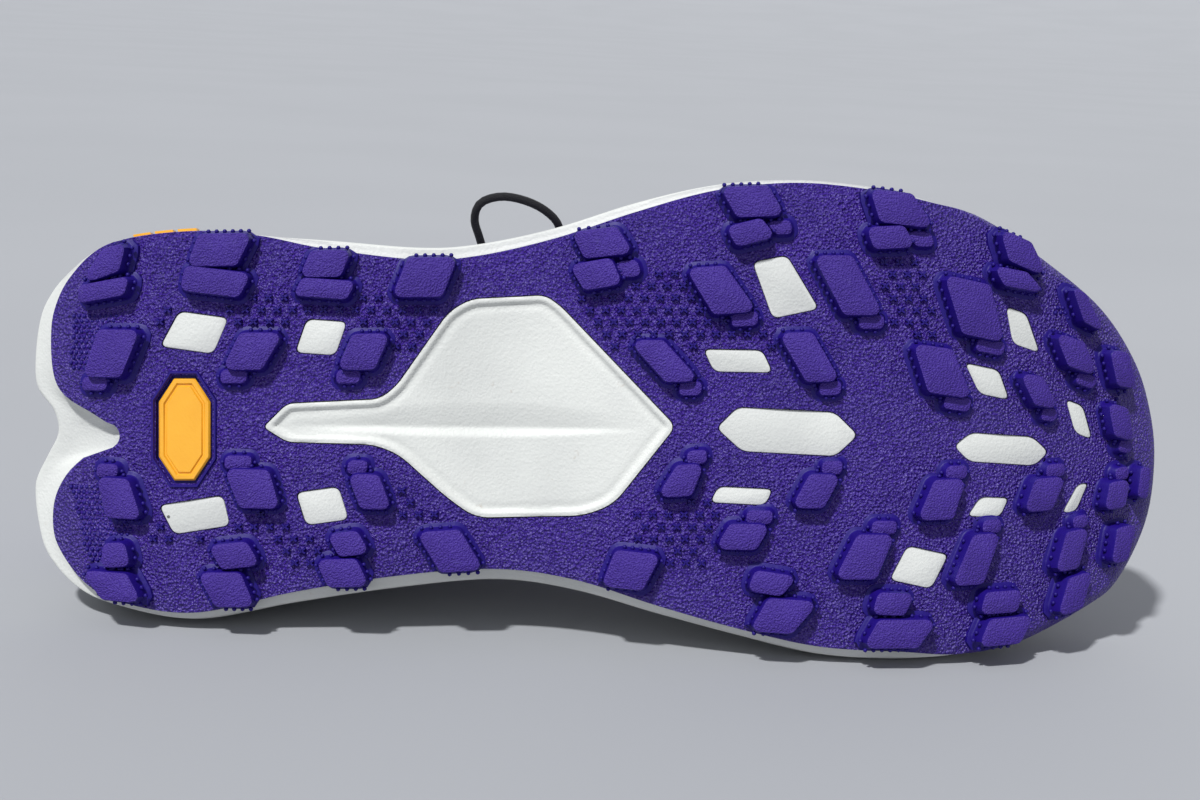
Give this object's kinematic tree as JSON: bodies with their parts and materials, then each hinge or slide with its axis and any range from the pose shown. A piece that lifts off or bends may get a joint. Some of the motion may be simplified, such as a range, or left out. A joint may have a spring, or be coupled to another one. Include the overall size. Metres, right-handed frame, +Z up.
{
  "type": "trail running shoe",
  "caption": "Low-cut trail running shoe for the right foot, lying on its medial side, with a lugged rubber outsole, cut-out windows, foam midsole, hollow upper, tongue, insole and laces.",
  "frame": {"origin": "centre of the lying shoe's bounding box in plan, at the floor it lies on", "axes": "+X from heel to toe along the floor, +Y from the sole towards the collar, +Z up, towards the shoe's lateral side"},
  "size_m": [0.285, 0.1336, 0.114],
  "materials": {
    "outsole_rubber": "matt moulded violet rubber",
    "midsole_foam": "off-white moulded foam",
    "badge_plastic": "amber plastic with a soft gloss",
    "upper_mesh": "pale knitted mesh",
    "overlay_film": "thin welded violet film",
    "lining_cloth": "dark brushed lining",
    "lace_cord": "black braided cord"
  },
  "bodies": {
    "root": {"outsole": "outsole_rubber", "midsole": "midsole_foam", "badge": "badge_plastic", "side_bar_1": "badge_plastic", "side_bar_2": "badge_plastic", "side_bar_3": "badge_plastic", "upper": "upper_mesh", "tongue": "upper_mesh", "insole": "lining_cloth", "eyestay": "overlay_film", "toe_cap": "overlay_film", "heel_counter": "overlay_film", "lace_crossings": "lace_cord", "lace_knot": "lace_cord", "lace_loop_lateral": "lace_cord", "lace_loop_medial": "lace_cord", "lace_end_lateral": "lace_cord", "lace_end_medial": "lace_cord"}
  },
  "joints": []
}
